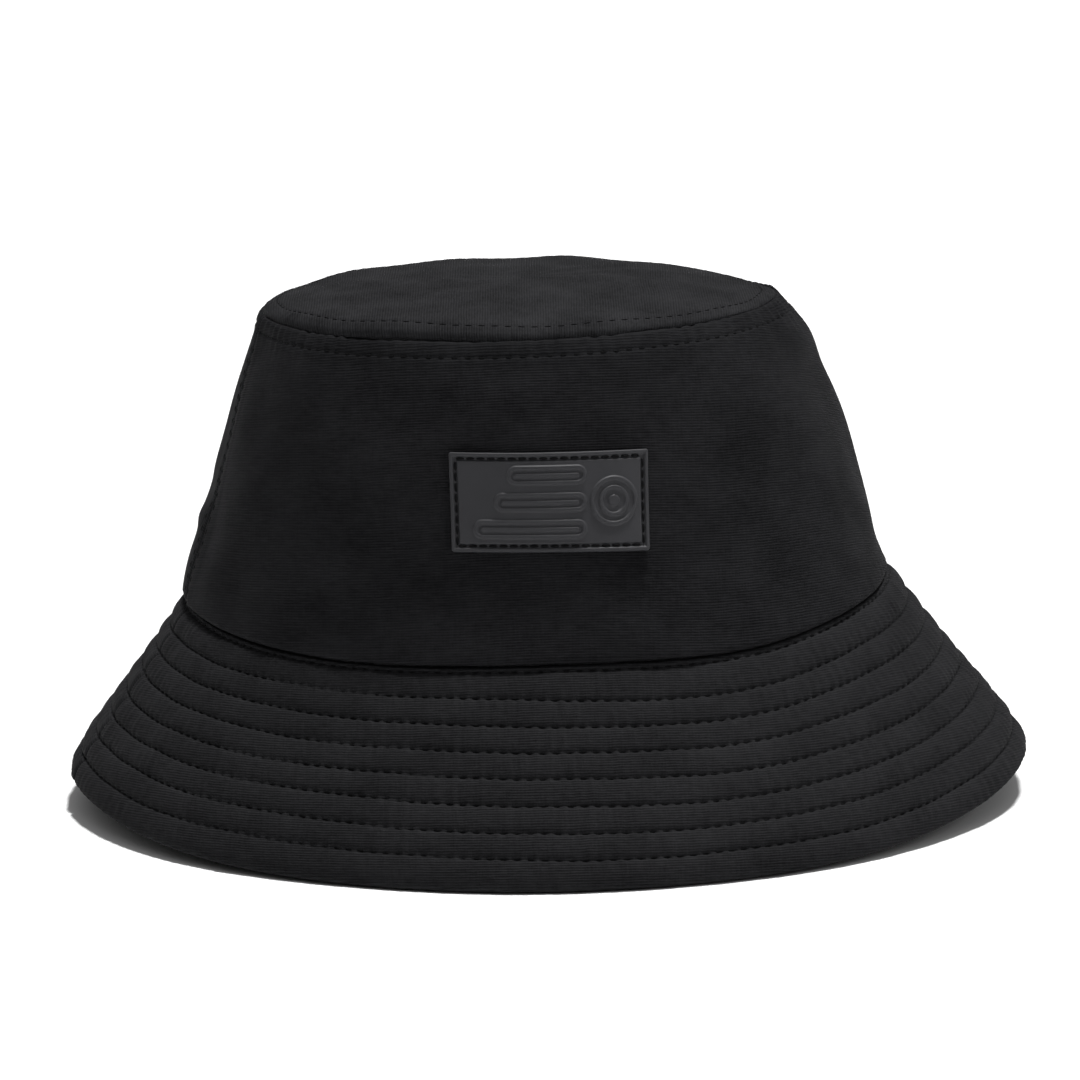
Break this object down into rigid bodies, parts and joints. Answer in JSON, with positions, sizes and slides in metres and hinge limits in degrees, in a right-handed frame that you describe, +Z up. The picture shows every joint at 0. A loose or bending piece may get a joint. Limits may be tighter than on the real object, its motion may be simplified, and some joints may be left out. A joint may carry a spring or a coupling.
{
  "type": "bucket hat",
  "caption": "Soft black bucket hat with a flat round crown, a tapered wall, a downturned quilted brim and a moulded rubber patch on the front",
  "frame": {"origin": "under the middle of the brim, on the surface that the brim's front and back rest on", "axes": "+Z up, the patch at the front faces -Y, +X to the viewer's right of a hat seen from the front"},
  "size_m": [0.2534, 0.2534, 0.1349],
  "materials": {
    "crown_fabric": "matt ribbed polyamide, near black, soft low sheen",
    "brim_fabric": "matt ribbed polyamide, near black, quilted",
    "thread": "spun polyester sewing thread, black",
    "interlining": "stiff non-woven, dark grey",
    "seam_tape": "twill tape, black",
    "sweatband": "brushed twill, black",
    "patch_rubber": "moulded soft rubber, matt dark grey",
    "label": "woven satin, blank, off-white"
  },
  "bodies": {
    "hat": {"crown_front_panel": "crown_fabric", "crown_back_panel": "crown_fabric", "side_seam_tape_left": "seam_tape", "side_seam_tape_right": "seam_tape", "side_seam_stitching": "thread", "wall_topstitching": "thread", "crown_seam_thread": "thread", "rubber_patch": "patch_rubber", "patch_stitching": "thread"},
    "crown_top": {"crown_tip": "crown_fabric", "tip_topstitching": "thread", "tip_seam_tape": "seam_tape", "tip_seam_thread": "thread"},
    "brim": {"brim_top_front": "brim_fabric", "brim_top_back": "brim_fabric", "brim_interlining_front": "interlining", "brim_interlining_back": "interlining", "brim_under_front": "brim_fabric", "brim_under_back": "brim_fabric", "brim_row_1": "thread", "brim_row_2": "thread", "brim_row_3": "thread", "brim_row_4": "thread", "brim_row_5": "thread", "brim_row_6": "thread", "brim_row_7": "thread", "brim_edge_stitching": "thread", "brim_edge_seam_thread": "thread"},
    "sweatband": {"sweatband": "sweatband", "sweatband_join_stitching": "thread"},
    "care_label": {"care_label": "label"}
  },
  "joints": [
    {"name": "brim_turn_up", "type": "slide", "parent": "hat", "child": "brim", "axis": [0, 0, 1], "range_m": [0, 0.098], "deforming": ["brim_top_front", "brim_top_back", "brim_interlining_front", "brim_interlining_back", "brim_under_front", "brim_under_back", "brim_row_1", "brim_row_2", "brim_row_3", "brim_row_4", "brim_row_5", "brim_row_6", "brim_row_7", "brim_edge_stitching", "brim_edge_seam_thread"]},
    {"name": "crown_press", "type": "slide", "parent": "hat", "child": "crown_top", "axis": [0, 0, -1], "range_m": [0, 0.025], "deforming": ["crown_front_panel", "crown_back_panel", "side_seam_tape_left", "side_seam_tape_right", "side_seam_stitching", "wall_topstitching"]},
    {"name": "sweatband_turn_out", "type": "slide", "parent": "hat", "child": "sweatband", "axis": [0, 0, -1], "range_m": [0, 0.05], "deforming": ["sweatband", "sweatband_join_stitching"]},
    {"name": "care_label_flap", "type": "hinge", "parent": "hat", "child": "care_label", "pos_m": [-0.08596, -0.0079, 0.08302], "axis": [-0.243, -0.0267, -0.9697], "range_deg": [0, 130], "stiffness_Nm_per_rad": 0.0001}
  ]
}
